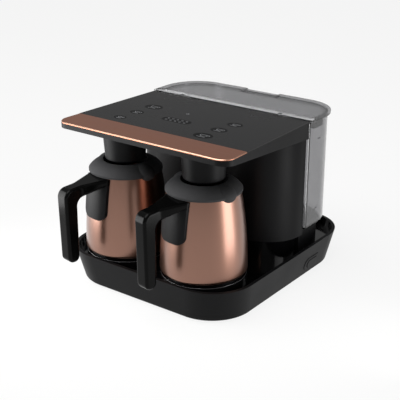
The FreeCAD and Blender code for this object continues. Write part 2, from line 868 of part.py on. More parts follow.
def make_tank():
    outer = raised(tank_outline(0, tank_low), tank_top - tank_low)
    low_edges = [e for e in outer.Edges if e.BoundBox.ZMax < tank_low + 0.01]
    outer = outer.makeFillet(1.6, low_edges)
    inner = raised(tank_outline(tank_wall, tank_low + tank_wall), tank_top)
    tank = outer.cut(inner)
    relief_back = tank_front + tank_wall + 2
    relief_low = tank_top - tank_top_gap
    front_relief = box(-tank_width, tank_width, tank_front - 1, relief_back, relief_low, tank_top + 1)
    tank = tank.cut(front_relief)
    spigot = tube(0, socket_y, tank_low - spigot_length, tank_low + tank_wall, spigot_radius, spigot_bore)
    tank = tank.cut(cylinder(0, socket_y, 0, tank_low + 10, spigot_bore))
    ears = []
    for x in (-hinge_side, hinge_side):
        half = hinge_ear / 2
        ear = box(x - half, x + half, tank_front, ear_back, tank_top - ear_depth, hinge_z + ear_rise)
        above = box(x - half, x + half, tank_front, ear_back, hinge_z, hinge_z + ear_rise)
        start = vec(x - half, hinge_y, hinge_z)
        round_top = Part.makeCylinder(ear_back - hinge_y, hinge_ear, start, vec(1, 0, 0))
        ear = ear.cut(above.cut(round_top))
        pin_hole = Part.makeCylinder(hinge_pin_radius, 20, vec(x - 10, hinge_y, hinge_z), vec(1, 0, 0))
        ears.append(ear.cut(pin_hole))
    tank = fuse([tank, spigot] + ears)
    bore_again = cylinder(0, socket_y, 0, tank_low + 10, spigot_bore)
    tank = tank.cut(bore_again)
    parts["water_tank"] = tank
    plunger = cylinder(0, socket_y, plunger_low, plunger_low + plunger_thickness, plunger_radius)
    plunger_top = plunger_low + plunger_thickness
    stem = cylinder(0, socket_y, post_top + seat_gap, plunger_top + valve_stem_rise, stem_radius)
    parts["valve_plunger"] = fuse([plunger, stem])
    cage_top = plunger_top + valve_spring_room
    cage_radius = plunger_radius + cage_wall
    post_circle = cage_radius - cage_post_radius - 0.3
    cap = tube(0, socket_y, cage_top - cage_cap, cage_top, cage_radius, stem_radius + 0.08)
    posts = []
    for turn in range(4):
        angle = math.radians(45 + 90 * turn)
        px = post_circle * math.cos(angle)
        py = socket_y + post_circle * math.sin(angle)
        posts.append(cylinder(px, py, tank_low + tank_wall, cage_top - 0.8, cage_post_radius))
    parts["valve_cage"] = fuse([cap] + posts)
    spring_low = plunger_top + 0.1
    spring_high = cage_top - cage_cap - 0.1
    parts["valve_spring"] = coil_spring(0, socket_y, spring_low, spring_high)


def coil_spring(x, y, low, high):
    rise = high - low - 2 * spring_wire
    helix = Part.makeHelix(rise / spring_turns, rise, spring_radius)
    spine = Part.Wire(helix.Edges)
    start = spine.Edges[0].valueAt(spine.Edges[0].FirstParameter)
    tangent = spine.Edges[0].tangentAt(spine.Edges[0].FirstParameter)
    section = Part.Wire(Part.makeCircle(spring_wire, start, tangent))
    spring = spine.makePipeShell([section], True, True)
    spring.translate(vec(x, y, low + spring_wire))
    return spring


def make_lid():
    half = tank_width / 2 + lid_overhang
    front = tower_back + lid_front_gap
    back = tank_back + lid_overhang
    corner = tank_corner + lid_overhang
    slab = raised(outline(half, half, front, back, 2.5, corner, lid_low), lid_thickness)
    rim = lid_rim_width
    hollow_front = front + 9.0
    hollow = raised(
        outline(half - rim, half - rim, hollow_front, back - rim, 6.0, corner - rim, lid_top - lid_recess), 5
    )
    slab = slab.cut(hollow)
    lip_inset = tank_wall + lid_clearance + 0.2
    lip_front = tank_front + 8.0
    lip_half = tank_width / 2 - lip_inset
    lip_back = tank_back - lip_inset
    lip_corner = tank_corner - lip_inset
    lip_outer = raised(
        outline(lip_half, lip_half, lip_front, lip_back, 3.0, lip_corner, lid_low - lid_lip), lid_lip + 0.5
    )
    lip_inner = raised(
        outline(
            lip_half - lid_lip_wall,
            lip_half - lid_lip_wall,
            lip_front + lid_lip_wall,
            lip_back - lid_lip_wall,
            3.0 - lid_lip_wall,
            lip_corner - lid_lip_wall,
            lid_low - lid_lip - 1,
        ),
        lid_lip + 3,
    )
    lip = lip_outer.cut(lip_inner)
    notch = raised(
        outline(
            finger_notch_width / 2,
            finger_notch_width / 2,
            back - finger_notch_depth,
            back + 5,
            4.0,
            0,
            lid_top - lid_recess,
        ),
        5,
    )
    slab = slab.cut(notch)
    bridge = box(
        -finger_notch_width / 2 - 3,
        finger_notch_width / 2 + 3,
        back - finger_notch_depth - 3,
        back - rim - 0.2,
        lid_low,
        lid_top,
    )
    ledge_back = back - finger_notch_depth - 2
    clear = raised(outline(half - rim, half - rim, hollow_front, ledge_back, 6.0, 1.0, lid_low), 9)
    slab = slab.fuse(bridge.cut(notch).cut(clear))
    knuckles = []
    for side in (-1, 1):
        start = side * (hinge_side - hinge_ear / 2 - seat_gap)
        low_x = min(start, start - side * hinge_knuckle)
        knuckles.append(
            Part.makeCylinder(hinge_knuckle_radius, hinge_knuckle, vec(low_x, hinge_y, hinge_z), vec(1, 0, 0))
        )
    lid = fuse([slab, lip] + knuckles)
    for x in (-hinge_side, hinge_side):
        gap = hinge_ear / 2 + seat_gap
        lid = lid.cut(box(x - gap, x + gap, front - 1, ear_back + seat_gap, 100, 300))
        pin_hole = Part.makeCylinder(hinge_pin_radius + 0.06, 24, vec(x - 12, hinge_y, hinge_z), vec(1, 0, 0))
        lid = lid.cut(pin_hole)
    parts["tank_lid"] = lid
    pins = []
    for side in (-1, 1):
        outer_end = side * (hinge_side + hinge_ear / 2)
        length = hinge_ear + seat_gap + hinge_knuckle
        low_x = min(outer_end, outer_end - side * length)
        pins.append(Part.makeCylinder(hinge_pin_radius, length, vec(low_x, hinge_y, hinge_z), vec(1, 0, 0)))
    parts["lid_pins"] = Part.makeCompound(pins)


def pot_edges(inset, low, high):
    """Half outline of the pot's conical body, moved in by an inset."""
    def radius_at(height):
        return pot_arc_radius(height) - inset

    base = pot_base_radius - inset
    belly = pot_floor + pot_belly_height
    middle = pot_floor + pot_middle_height
    corner_mid = (base + 0.72 * (radius_at(belly) - base), low + 0.28 * (belly - low))
    return [
        line((0, low), (base, low)),
        arc((base, low), corner_mid, (radius_at(belly), belly)),
        arc((radius_at(belly), belly), (radius_at(middle), middle), (radius_at(high), high)),
        line((radius_at(high), high), (0, high)),
        line((0, high), (0, low)),
    ]


def pot_arc_radius(height):
    """Outer radius of the pot's side, on the circle through its belly, middle and mouth."""
    x1, z1 = pot_belly_radius, pot_floor + pot_belly_height
    x2, z2 = pot_middle_radius, pot_floor + pot_middle_height
    x3, z3 = pot_mouth_radius, pot_rim
    circle = Part.Circle(vec(x1, 0, z1), vec(x2, 0, z2), vec(x3, 0, z3))
    centre = circle.Center
    return centre.x + math.sqrt(circle.Radius**2 - (height - centre.z) ** 2)


def collar_dome(inset):
    """Domed neck above the pot's rim, moved in by an inset."""
    low = collar_low
    outer = collar_radius - inset
    band = collar_low + collar_band
    top = collar_top - inset
    shoulder_x = (outer + collar_hole_radius) / 2 + collar_bulge * 0.6
    shoulder_z = (band + top) / 2 + collar_bulge * 0.8
    edges = [
        line((0, low), (outer, low)),
        line((outer, low), (outer, band)),
        arc((outer, band), (shoulder_x, shoulder_z), (collar_hole_radius, top)),
        line((collar_hole_radius, top), (0, top)),
        line((0, top), (0, low)),
    ]
    return revolved(edges, 0, 0)


def pour_lip(side, inset):
    ball = Part.makeSphere(1.0)
    scale = FreeCAD.Matrix()
    scale.scale(lip_reach - inset, lip_half_width - inset, lip_half_height - inset)
    lip = ball.transformGeometry(scale)
    lip.translate(vec(side * lip_offset, 0, collar_top - lip_half_height))
    return lip


def make_collar():
    outer = fuse([collar_dome(0), pour_lip(-1, 0), pour_lip(1, 0)])
    inner = fuse([collar_dome(collar_wall), pour_lip(-1, collar_wall), pour_lip(1, collar_wall)])
    pot = revolved(pot_edges(-pad_gap, pot_floor, collar_low), 0, 0)
    collar = outer.cut(inner).cut(pot)
    collar = collar.cut(cylinder(0, 0, 0, collar_top + 5, collar_hole_radius))
    mouth = pot_mouth_radius - pot_wall - seat_gap
    plug = tube(0, 0, collar_low - plug_depth, collar_low + 1.0, mouth, mouth - collar_wall)
    flange = tube(0, 0, collar_low, collar_low + 1.0, collar_radius - 0.6, mouth - collar_wall)
    return fuse([collar, plug, flange])


def make_handle():
    """L-shaped handle, reaching along -Y from the pot's axis, with its pad on the body."""
    root_top = collar_low - seat_gap
    grip_top = root_top - arm_drop
    outer = grip_offset + grip_thickness / 2
    inner = grip_offset - grip_thickness / 2
    bottom = grip_top - grip_length
    root = pot_mouth_radius - 1.0
    half = grip_width / 2
    profile = [
        vec(-pad_half_width, -root, root_top),
        vec(-pad_half_width, -outer, grip_top),
        vec(-pad_half_width, -outer + grip_lean, bottom),
        vec(-pad_half_width, -inner - grip_lean / 3, bottom),
        vec(-pad_half_width, -inner, grip_top - arm_height),
        vec(-pad_half_width, -root, root_top - arm_root_height),
    ]
    side_view = rounded_wire(profile, [0, arm_corner, grip_end_radius, grip_end_radius, arm_bend, 0])
    grip = Part.Face(side_view).extrude(vec(2 * pad_half_width, 0, 0))
    plan = [
        vec(-half, -2 * outer, 0),
        vec(half, -2 * outer, 0),
        vec(half, -arm_flare, 0),
        vec(pad_half_width, -root, 0),
        vec(-pad_half_width, -root, 0),
        vec(-half, -arm_flare, 0),
    ]
    top_view = rounded_wire(plan, [0, 0, arm_flare_radius, 0, 0, arm_flare_radius])
    grip = grip.common(raised(top_view, 2 * pot_rim))
    side_edges = [e for e in grip.Edges if e.BoundBox.YMin < -root - 1 and is_on_side(e)]
    grip = grip.makeFillet(grip_edge, side_edges)
    pad_top = collar_low - 1.0
    pad_low = pad_top - pad_height
    skin = revolved(pot_edges(-pad_gap - pad_thickness, pot_floor, pot_rim), 0, 0)
    block = box(-pad_half_width, pad_half_width, -collar_radius * 2, 0, pad_low, pad_top)
    low_sides = [
        e for e in block.Edges
        if e.BoundBox.YMax - e.BoundBox.YMin > 1 and e.BoundBox.ZMax < pad_low + 0.01
    ]
    block = block.makeFillet(pad_corner, low_sides)
    pad = skin.common(block)
    handle = fuse([grip, pad])
    handle = handle.cut(revolved(pot_edges(-pad_gap, pot_floor, pot_rim + 0.01), 0, 0))
    for z in handle_screw_heights():
        depth = pot_arc_radius(z) + stud_length + stud_gap
        handle = handle.cut(Part.makeCylinder(stud_radius + stud_gap, depth, vec(0, 0, z), vec(0, -1, 0)))
    return handle


def is_on_side(edge):
    """True for an edge that bounds the handle's left or right side."""
    middle = edge.valueAt((edge.FirstParameter + edge.LastParameter) / 2)
    return abs(middle.x) > grip_width / 2 - 0.01


def handle_screw_heights():
    return (collar_low - upper_stud_drop, collar_low - lower_stud_drop)


def make_pot(side, x):
    outer = revolved(pot_edges(0, pot_floor, pot_rim), 0, 0)
    inner = revolved(pot_edges(pot_wall, pot_floor + 1.6, pot_rim + 1), 0, 0)
    body = outer.cut(inner)
    studs = []
    for z in handle_screw_heights():
        reach = pot_arc_radius(z)
        stud = Part.makeCylinder(stud_radius, reach + stud_length, vec(0, 0, z), vec(0, -1, 0))
        studs.append(stud.cut(inner))
    body = fuse([body] + studs)
    pieces = {"pot_body_": body, "pot_collar_": make_collar(), "pot_handle_": make_handle()}
    for name, shape in pieces.items():
        placed = shape.copy()
        placed.rotate(vec(0, 0, 0), up, -handle_turn)
        placed.translate(vec(x, pot_setback, 0))
        parts[name + side] = placed


# Places that several pieces share
base_top = tray_low + 0.2 + base_plate_thickness
socket_y = tank_front + spigot_setback
seal_outer = spigot_radius + 2.6
socket_outer = seal_outer + socket_wall
seal_low = tank_low - spigot_length + 2.0
cup_low = tank_low - spigot_length - socket_depth - socket_floor
post_top = tank_low - 1.0
plunger_low = tank_low + tank_wall + valve_lift
pipe_z = deck_height + 10.0
pump_y = (tower_front + tower_back) / 2
pump_top = tower_low + tower_wall + pump_mount_height + pump_height
board_low = tower_low + 14.0
board_stand = 5.0
board_y = tower_back - tower_wall - board_stand - board_thickness
touch_board_front = 46.0
hinge_y = tower_back + lid_front_gap + hinge_setback
hinge_z = lid_top - hinge_knuckle_radius
ear_back = tank_front + ear_thickness

make_base()
parts["base_tray"] = make_tray()
make_tower()
make_seat()
make_hood()
make_manifold()
make_boards()
make_button()
make_gland()
make_tank()
make_lid()
for side_name, side_x in sides.items():
    make_heater(side_name, side_x)
    make_head(side_name, side_x)
    make_pump(side_name, side_x)
    make_pot(side_name, side_x)

reach_box = Part.makeCompound(list(parts.values())).optimalBoundingBox(False, False)
shift = vec(0, -(reach_box.YMin + reach_box.YMax) / 2, 0)
print("moved by", round(shift.y, 3))
os.makedirs("parts", exist_ok=True)
for name, shape in parts.items():
    placed = shape.copy()
    placed.translate(shift)
    if not placed.isValid():
        print("not valid:", name)
    placed.exportStep("parts/" + name + ".step")
    print(name, len(placed.Solids), round(placed.Volume / 1000, 2), "cm3")
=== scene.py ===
import json
import math

import bpy
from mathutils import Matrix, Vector

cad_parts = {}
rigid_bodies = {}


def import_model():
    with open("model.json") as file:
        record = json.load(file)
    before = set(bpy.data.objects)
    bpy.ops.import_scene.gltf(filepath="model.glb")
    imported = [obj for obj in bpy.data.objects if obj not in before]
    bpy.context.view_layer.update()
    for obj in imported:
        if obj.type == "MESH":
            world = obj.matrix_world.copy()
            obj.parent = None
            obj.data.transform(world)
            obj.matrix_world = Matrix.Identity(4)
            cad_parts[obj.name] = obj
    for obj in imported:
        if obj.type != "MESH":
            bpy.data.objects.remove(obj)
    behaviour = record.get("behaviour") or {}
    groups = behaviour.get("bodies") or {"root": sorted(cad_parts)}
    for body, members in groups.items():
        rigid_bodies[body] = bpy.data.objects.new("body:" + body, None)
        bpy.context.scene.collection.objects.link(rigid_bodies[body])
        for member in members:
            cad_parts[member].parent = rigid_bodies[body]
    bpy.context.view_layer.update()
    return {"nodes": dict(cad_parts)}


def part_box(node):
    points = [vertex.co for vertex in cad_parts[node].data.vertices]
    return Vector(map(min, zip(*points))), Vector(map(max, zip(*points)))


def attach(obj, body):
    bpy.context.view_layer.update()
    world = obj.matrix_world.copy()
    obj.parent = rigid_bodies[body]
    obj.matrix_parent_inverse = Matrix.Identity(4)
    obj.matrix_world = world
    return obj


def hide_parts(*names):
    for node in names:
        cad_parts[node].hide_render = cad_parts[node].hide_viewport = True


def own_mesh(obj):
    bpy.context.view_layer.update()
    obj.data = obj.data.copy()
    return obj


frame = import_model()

bpy.ops.object.select_all(action="DESELECT")
print("frame loaded,", len(frame["nodes"]), "nodes")


def linear(hexCode, alpha=1.0):
    channels = [int(hexCode[i:i + 2], 16) / 255 for i in (1, 3, 5)]
    return [c / 12.92 if c <= 0.04045 else ((c + 0.055) / 1.055) ** 2.4 for c in channels] + [alpha]


def addNode(tree, kind, settings=None, links=None):
    node = tree.nodes.new(kind)
    for name, value in (settings or {}).items():
        if name in node.inputs:
            node.inputs[name].default_value = value
        else:
            setattr(node, name, value)
    for name, source in (links or {}).items():
        tree.links.new(source, node.inputs[name])
    return node


def newMaterial(name, settings):
    material = bpy.data.materials.new(name)
    material.use_nodes = True
    tree = material.node_tree
    shader = tree.nodes["Principled BSDF"]
    for socket, value in settings.items():
        shader.inputs[socket].default_value = value
    place = addNode(tree, "ShaderNodeTexCoord").outputs["Object"]
    return material, tree, shader, place


def roughnessClouds(tree, shader, place, sizeMm, low, high):
    # handling and moulding leave soft patches that shine a little more or less
    clouds = addNode(tree, "ShaderNodeTexNoise", {"Scale": 1000 / sizeMm, "Detail": 4.0}, {"Vector": place})
    spread = addNode(
        tree, "ShaderNodeMapRange",
        {"From Min": 0.3, "From Max": 0.7, "To Min": low, "To Max": high},
        {"Value": clouds.outputs["Fac"]},
    )
    tree.links.new(spread.outputs["Result"], shader.inputs["Roughness"])


def grainBump(tree, shader, place, sizeMm, depthMm, stretch=(1.0, 1.0, 1.0), detail=2.0):
    squeezed = addNode(tree, "ShaderNodeMapping", {"Scale": stretch}, {"Vector": place})
    grain = addNode(
        tree, "ShaderNodeTexNoise",
        {"Scale": 1000 / sizeMm, "Detail": detail},
        {"Vector": squeezed.outputs["Vector"]},
    )
    bump = addNode(
        tree, "ShaderNodeBump",
        {"Strength": 1.0, "Distance": depthMm / 1000},
        {"Height": grain.outputs["Fac"]},
    )
    tree.links.new(bump.outputs["Normal"], shader.inputs["Normal"])
    return grain.outputs["Fac"]


def mouldedPlastic(name, look):
    material, tree, shader, place = newMaterial(name, {
        "Base Color": linear(look["colour"]),
        "IOR": look.get("ior", 1.53),
        "Specular IOR Level": look.get("shine", 0.5),
    })
    roughnessClouds(tree, shader, place, look["patchMm"], look["roughLow"], look["roughHigh"])
    grainBump(tree, shader, place, look["grainMm"], look["grainDepthMm"])
    return material


plasticLooks = {
    # ABS with a fine spark-eroded grain: soft grey sheen, no mirror image. Grain drawn coarser than life
    "satinAbs": {"colour": "#0f0f10", "shine": 0.09, "patchMm": 45, "roughLow": 0.40, "roughHigh": 0.47,
                 "grainMm": 0.7, "grainDepthMm": 0.018},
    # collars: the same ABS from a finer mould, less shiny, with its colour a shade lighter as painted sheen
    "collarPaintedSheenAbs": {"colour": "#3a3a3b", "shine": 0.06, "patchMm": 40, "roughLow": 0.60, "roughHigh": 0.68,
                "grainMm": 0.6, "grainDepthMm": 0.014},
    # handle from a polished mould: clear dark reflections with a slight ripple
    "glossAbs": {"colour": "#060606", "shine": 0.07, "patchMm": 30, "roughLow": 0.12, "roughHigh": 0.18,
                 "grainMm": 9.0, "grainDepthMm": 0.02},
    # inside of the tray and the plinth: high gloss that doubles what stands on it
    "mirrorAbs": {"colour": "#070708", "shine": 0.55, "patchMm": 30, "roughLow": 0.07, "roughHigh": 0.12,
                  "grainMm": 9.0, "grainDepthMm": 0.02},
    # touch surface: hard coat with an even silk sheen
    "hardCoat": {"colour": "#101011", "shine": 0.16, "patchMm": 60, "roughLow": 0.26, "roughHigh": 0.28,
                 "grainMm": 0.8, "grainDepthMm": 0.006},
    "softRubber": {"colour": "#161616", "shine": 0.25, "patchMm": 12, "roughLow": 0.7, "roughHigh": 0.82,
                   "grainMm": 0.5, "grainDepthMm": 0.03},
    "siliconeRubber": {"colour": "#cfcdc6", "shine": 0.4, "patchMm": 10, "roughLow": 0.45, "roughHigh": 0.55,
                       "grainMm": 1.2, "grainDepthMm": 0.01},
    "whiteNylon": {"colour": "#dcd9d0", "shine": 0.45, "patchMm": 18, "roughLow": 0.38, "roughHigh": 0.46,
                   "grainMm": 0.9, "grainDepthMm": 0.012},
    "circuitBoard": {"colour": "#1d5a34", "shine": 0.5, "patchMm": 14, "roughLow": 0.3, "roughHigh": 0.4,
                     "grainMm": 2.0, "grainDepthMm": 0.03},
    "panelInk": {"colour": "#7b7c7e", "shine": 0.3, "patchMm": 6, "roughLow": 0.45, "roughHigh": 0.55,
                 "grainMm": 0.4, "grainDepthMm": 0.004},
    "scaleInk": {"colour": "#1c1c1e", "shine": 0.2, "patchMm": 6, "roughLow": 0.45, "roughHigh": 0.55,
                 "grainMm": 0.4, "grainDepthMm": 0.004},
    "darkWindow": {"colour": "#020203", "shine": 0.03, "patchMm": 8, "roughLow": 0.07, "roughHigh": 0.1,
                   "grainMm": 3.0, "grainDepthMm": 0.002},
}

finishes = {name: mouldedPlastic(name, look) for name, look in plasticLooks.items()}


def brushedMetal(name, look):
    material, tree, shader, place = newMaterial(name, {
        "Metallic": 1.0,
        "Base Color": linear(look["colour"]),
        "Coat Weight": look.get("coat", 0.0),
        "Coat Roughness": look.get("coatRough", 0.1),
    })
    lines = grainBump(tree, shader, place, look["grainMm"], look["grainDepthMm"], look["stretch"], detail=5.0)
    spread = addNode(
        tree, "ShaderNodeMapRange",
        {"From Min": 0.25, "From Max": 0.75, "To Min": look["roughLow"], "To Max": look["roughHigh"]},
        {"Value": lines},
    )
    tree.links.new(spread.outputs["Result"], shader.inputs["Roughness"])
    return material


metalLooks = {
    # aluminium strip, brushed along its length and anodised copper
    "anodisedCopper": {"colour": "#b47a62", "grainMm": 0.9, "grainDepthMm": 0.004,
                       "stretch": (0.02, 1.0, 1.0), "roughLow": 0.30, "roughHigh": 0.42},
    # drawn steel pot, turned to a satin and lacquered copper: bands of light run down it
    "lacqueredCopper": {"colour": "#87604f", "grainMm": 1.1, "grainDepthMm": 0.0016,
                        "stretch": (0.04, 0.04, 1.0), "roughLow": 0.29, "roughHigh": 0.33,
                        "coat": 0.9, "coatRough": 0.24},
    # the bevel round the strip's top is diamond cut; its lighter copper is a painted highlight line
    "paintedHighlightCopper": {"colour": "#d3a891", "grainMm": 1.0, "grainDepthMm": 0.001, "stretch": (0.02, 1.0, 1.0),
                  "roughLow": 0.30, "roughHigh": 0.36},
    "plainSteel": {"colour": "#a9a9ab", "grainMm": 1.5, "grainDepthMm": 0.006, "stretch": (1.0, 1.0, 0.1),
                   "roughLow": 0.28, "roughHigh": 0.4},
    # cast plate under a dark non-stick coat
    "coatedPlate": {"colour": "#1b1b1c", "grainMm": 1.0, "grainDepthMm": 0.01, "stretch": (1.0, 1.0, 1.0),
                    "roughLow": 0.3, "roughHigh": 0.42},
}

for finishName, finishLook in metalLooks.items():
    finishes[finishName] = brushedMetal(finishName, finishLook)


clearSurface = {"patchMm": 50, "rippleMm": 22, "rippleDepthMm": 0.004}


def smokeClear(name, look):
    material, tree, shader, place = newMaterial(name, {
        "Base Color": linear(look["colour"]),
        "Transmission Weight": 1.0,
        "IOR": look["ior"],
        "Specular IOR Level": look.get("shine", 0.5),
    })
    roughnessClouds(tree, shader, place, clearSurface["patchMm"], look["roughLow"], look["roughHigh"])
    grainBump(tree, shader, place, clearSurface["rippleMm"], clearSurface["rippleDepthMm"], detail=0.0)
    if "smoke" in look:
        # the tint is in the plastic, so a long way through an edge or corner is darker than a flat wall
        tint = addNode(tree, "ShaderNodeVolumeAbsorption", {"Color": (0, 0, 0, 1), "Density": look["smoke"]})
        tree.links.new(tint.outputs["Volume"], tree.nodes["Material Output"].inputs["Volume"])
    return material


clearLooks = {
    # SAN moulded clear with a smoke tint: wall edges darken, a faint flow ripple shows in reflections
    "smokeSan": {"colour": "#cfcfd1", "ior": 1.57, "roughLow": 0.02, "roughHigh": 0.05,
                 "smoke": 130.0, "shine": 0.12},
    # the lid's front strip: a paler colour, rougher and without the smoke tint
    "clearEdge": {"colour": "#ececee", "ior": 1.3, "roughLow": 0.3, "roughHigh": 0.36},
    "smokeLid": {"colour": "#bdbdbf", "ior": 1.57, "roughLow": 0.06, "roughHigh": 0.1, "smoke": 95.0},
    "infraredLens": {"colour": "#3a1216", "ior": 1.49, "roughLow": 0.05, "roughHigh": 0.08},
}
for finishName, finishLook in clearLooks.items():
    finishes[finishName] = smokeClear(finishName, finishLook)
print("finishes made,", len(finishes))

# which finish each node has: names are matched from their start, and the longest match counts
nodeFinishes = {
    "base_tray": "satinAbs", "base_plate": "satinAbs", "rubber_feet": "softRubber",
    "base_screws": "plainSteel", "tower_shell": "satinAbs", "plinth": "mirrorAbs",
    "rear_panel": "satinAbs", "tank_seat": "satinAbs",
    "tank_socket": "satinAbs", "socket_seal": "siliconeRubber", "hood_shell": "satinAbs",
    "copper_trim": "anodisedCopper", "touch_panel": "hardCoat", "feed_manifold": "whiteNylon",
    "power_board": "circuitBoard", "touch_board": "circuitBoard", "button_bezel": "satinAbs",
    "power_button": "satinAbs", "power_switch": "whiteNylon", "cord_gland": "softRubber",
    "water_tank": "smokeSan", "tank_lid": "smokeLid", "valve_plunger": "whiteNylon",
    "valve_cage": "whiteNylon", "valve_spring": "plainSteel", "lid_pins": "plainSteel",
    "heater_plate": "coatedPlate",
    "heater_seal": "siliconeRubber", "heating_element": "plainSteel", "thermostat": "plainSteel",
    "brew_head": "satinAbs", "sensor_window": "infraredLens", "foam_sensor": "circuitBoard",
    "water_nozzle": "whiteNylon", "water_hose": "siliconeRubber", "pump_mount": "softRubber",
    "pump_left": "plainSteel", "pump_right": "plainSteel", "pot_body": "lacqueredCopper",
    "pot_collar": "collarPaintedSheenAbs", "pot_handle": "glossAbs",
}
for nodeName, node in frame["nodes"].items():
    fitting = [start for start in nodeFinishes if nodeName.startswith(start)]
    chosen = nodeFinishes[max(fitting, key=len)]
    node.data.materials.clear()
    node.data.materials.append(finishes[chosen])


def twoFinishes(nodeName, secondFinish, chooses):
    node = frame["nodes"][nodeName]
    node.data.materials.append(finishes[secondFinish])
    for face in node.data.polygons:
        if chooses(face.center, face.normal):
            face.material_index = 1


# the tray is grained outside and polished inside its rim
trayLow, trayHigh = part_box("base_tray")
trayMiddle = (trayLow + trayHigh) / 2
trayGloss = {"deck": 0.0291, "below": 0.0002, "above": 0.0005, "heaterReach": 0.049, "frontWall": 0.0035,
             "flat": 0.5, "inward": -0.2}
potAxes = {"left": Vector((-0.0535, -0.0620, 0)), "right": Vector((0.0535, -0.0620, 0))}


def fromAxis(centre, axis):
    return (Vector((centre.x, centre.y, 0)) - axis).length


def insideRim(centre, normal):
    if centre.z < trayGloss["deck"] - trayGloss["below"]:
        return False
    outward = Vector((centre.x - trayMiddle.x, centre.y - trayMiddle.y, 0)).normalized()
    toHeater = min(fromAxis(centre, axis) for axis in potAxes.values())
    nearHeater = toHeater < trayGloss["heaterReach"] and centre.y > trayLow.y + trayGloss["frontWall"]
    onDeck = normal.z > trayGloss["flat"] and centre.z < trayGloss["deck"] + trayGloss["above"]
    return nearHeater or onDeck or normal.dot(outward) < trayGloss["inward"]


twoFinishes("base_tray", "mirrorAbs", insideRim)

# the pad on the pot is grained, the arm and grip are polished
padGrain = {"top": 0.1245, "reach": 0.0492}
for side, axis in potAxes.items():
    def onPad(centre, normal, axis=axis):
        return centre.z < padGrain["top"] and fromAxis(centre, axis) < padGrain["reach"]
    twoFinishes("pot_handle_" + side, "satinAbs", onPad)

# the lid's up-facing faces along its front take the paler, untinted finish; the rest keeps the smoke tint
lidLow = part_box("tank_lid")[0]
frontStrip = {"deep": 0.012, "flat": 0.5}


def onLidFront(centre, normal):
    return centre.y < lidLow.y + frontStrip["deep"] and normal.z > frontStrip["flat"]


twoFinishes("tank_lid", "clearEdge", onLidFront)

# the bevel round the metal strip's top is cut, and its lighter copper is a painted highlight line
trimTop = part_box("copper_trim")[1].z
highlightBevel = {"below": 0.0001, "upward": 0.3}


def onHighlightBevel(centre, normal):
    return centre.z < trimTop - highlightBevel["below"] and normal.z > highlightBevel["upward"]


twoFinishes("copper_trim", "paintedHighlightCopper", onHighlightBevel)
print("finishes assigned")


def takePiece(name, body, finish):
    piece = bpy.context.active_object
    piece.name = name
    bpy.ops.object.transform_apply(location=True, rotation=True, scale=True)
    piece.data.materials.clear()
    piece.data.materials.append(finishes[finish])
    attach(piece, body)
    bpy.ops.object.select_all(action="DESELECT")
    return piece


def joinNew(before):
    new = [o for o in bpy.data.objects if o not in before]
    bpy.ops.object.select_all(action="DESELECT")
    for o in new:
        o.select_set(True)
    bpy.context.view_layer.objects.active = new[0]
    bpy.ops.object.join()


def thicken(depth):
    piece = bpy.context.active_object
    wall = piece.modifiers.new("film", "SOLIDIFY")
    wall.thickness = depth
    wall.offset = -1
    bpy.ops.object.modifier_apply(modifier=wall.name)


# marks on the touch panel: dark windows with light outlines over them
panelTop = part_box("touch_panel")[1].z
printFilm = 0.00002
panelMarks = {
    "windowLift": 0.00003,
    "inkLift": 0.00006,
    "line": 0.00075,
    "windowRadius": 1.9,    # in shares of the cup's radius
    "windowWide": 1.35,
    "cups": [
        # x, y, cup radius
        (-0.0660, -0.0550, 0.0030), (-0.0640, -0.0289, 0.0034), (-0.0620, -0.0018, 0.0044),
        (0.0466, -0.0544, 0.0044), (0.0484, -0.0289, 0.0038), (0.0515, -0.0041, 0.0036),
    ],
    "display": {"at": (-0.0085, -0.0285), "length": 0.038, "width": 0.012,
                "dots": 5, "dotRadius": 0.0013, "dotPoints": 20, "dotLine": 0.0006,
                "columnPitch": 0.0062, "rowOffset": 0.0026},
    "warm": {"at": (-0.0140, -0.0015), "radius": 0.0019},
}
# a cup's parts in shares of its radius, from the middle of its bowl; earLine is a share of the line
cupShape = {"raised": 0.45, "brim": 0.25, "earOut": 1.25, "earDown": 0.15, "earRadius": 0.45,
            "saucerDown": 1.45, "saucerLength": 2.4, "earPoints": 24, "earLine": 0.8}


def flatDisc(x, y, z, radius, points=40):
    bpy.ops.mesh.primitive_circle_add(vertices=points, radius=radius, fill_type="NGON", location=(x, y, z))
    bpy.ops.object.mode_set(mode="EDIT")
    bpy.ops.mesh.select_all(action="SELECT")


def hollowOut(line):
    bpy.ops.mesh.inset(thickness=line, depth=0)
    bpy.ops.mesh.delete(type="FACE")
    bpy.ops.object.mode_set(mode="OBJECT")


def cupOutline(x, y, radius):
    y += radius * cupShape["raised"]
    z = panelTop + panelMarks["inkLift"]
    flatDisc(x, y, z, radius)
    brim = (x, y + radius * cupShape["brim"], z)
    bpy.ops.mesh.bisect(plane_co=brim, plane_no=(0, 1, 0), use_fill=False, clear_outer=True)
    bpy.ops.mesh.select_all(action="SELECT")
    hollowOut(panelMarks["line"])
    earAt = (x + radius * cupShape["earOut"], y - radius * cupShape["earDown"], z)
    flatDisc(*earAt, radius * cupShape["earRadius"], cupShape["earPoints"])
    hollowOut(panelMarks["line"] * cupShape["earLine"])
    bpy.ops.mesh.primitive_plane_add(size=1, location=(x, y - radius * cupShape["saucerDown"], z))
    bpy.ops.transform.resize(value=(radius * cupShape["saucerLength"], panelMarks["line"], 1))


before = set(bpy.data.objects)
for x, y, radius in panelMarks["cups"]:
    flatDisc(x, y, panelTop + panelMarks["windowLift"], radius * panelMarks["windowRadius"])
    bpy.ops.transform.resize(value=(panelMarks["windowWide"], 1, 1))
    bpy.ops.object.mode_set(mode="OBJECT")
display = panelMarks["display"]
flatDisc(*display["at"], panelTop + panelMarks["windowLift"], display["width"] / 2)
bpy.ops.object.mode_set(mode="OBJECT")
for corner in bpy.context.active_object.data.vertices:
    corner.co.x += math.copysign((display["length"] - display["width"]) / 2, corner.co.x)
joinNew(before)
thicken(printFilm)
takePiece("panel_windows", "machine", "darkWindow")

